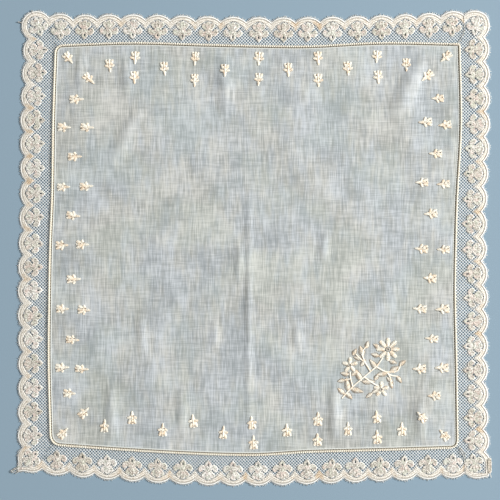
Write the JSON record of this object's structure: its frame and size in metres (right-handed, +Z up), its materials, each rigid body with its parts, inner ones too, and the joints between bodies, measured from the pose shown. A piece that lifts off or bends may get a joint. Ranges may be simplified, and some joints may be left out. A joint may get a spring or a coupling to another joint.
{
  "type": "embroidered handkerchief",
  "caption": "Square of sheer lawn with a rolled hem, small embroidered sprigs and a scalloped lace edging, laid flat for carrying, wiping or display.",
  "frame": {"origin": "on the surface that the handkerchief lies on, under the middle of its outline", "axes": "+Z up out of the cloth's face, +Y towards the top edge and +X towards the right edge as pictured"},
  "size_m": [0.3549, 0.3561, 0.0032],
  "materials": {
    "fine_lawn": "sheer slubby plain weave, matt",
    "ivory_lace": "matt ivory cotton thread"
  },
  "bodies": {
    "root": {"lawn_ground": "fine_lawn", "lace_top": "ivory_lace", "lace_right": "ivory_lace", "lace_bottom": "ivory_lace", "lace_left": "ivory_lace"}
  },
  "joints": []
}
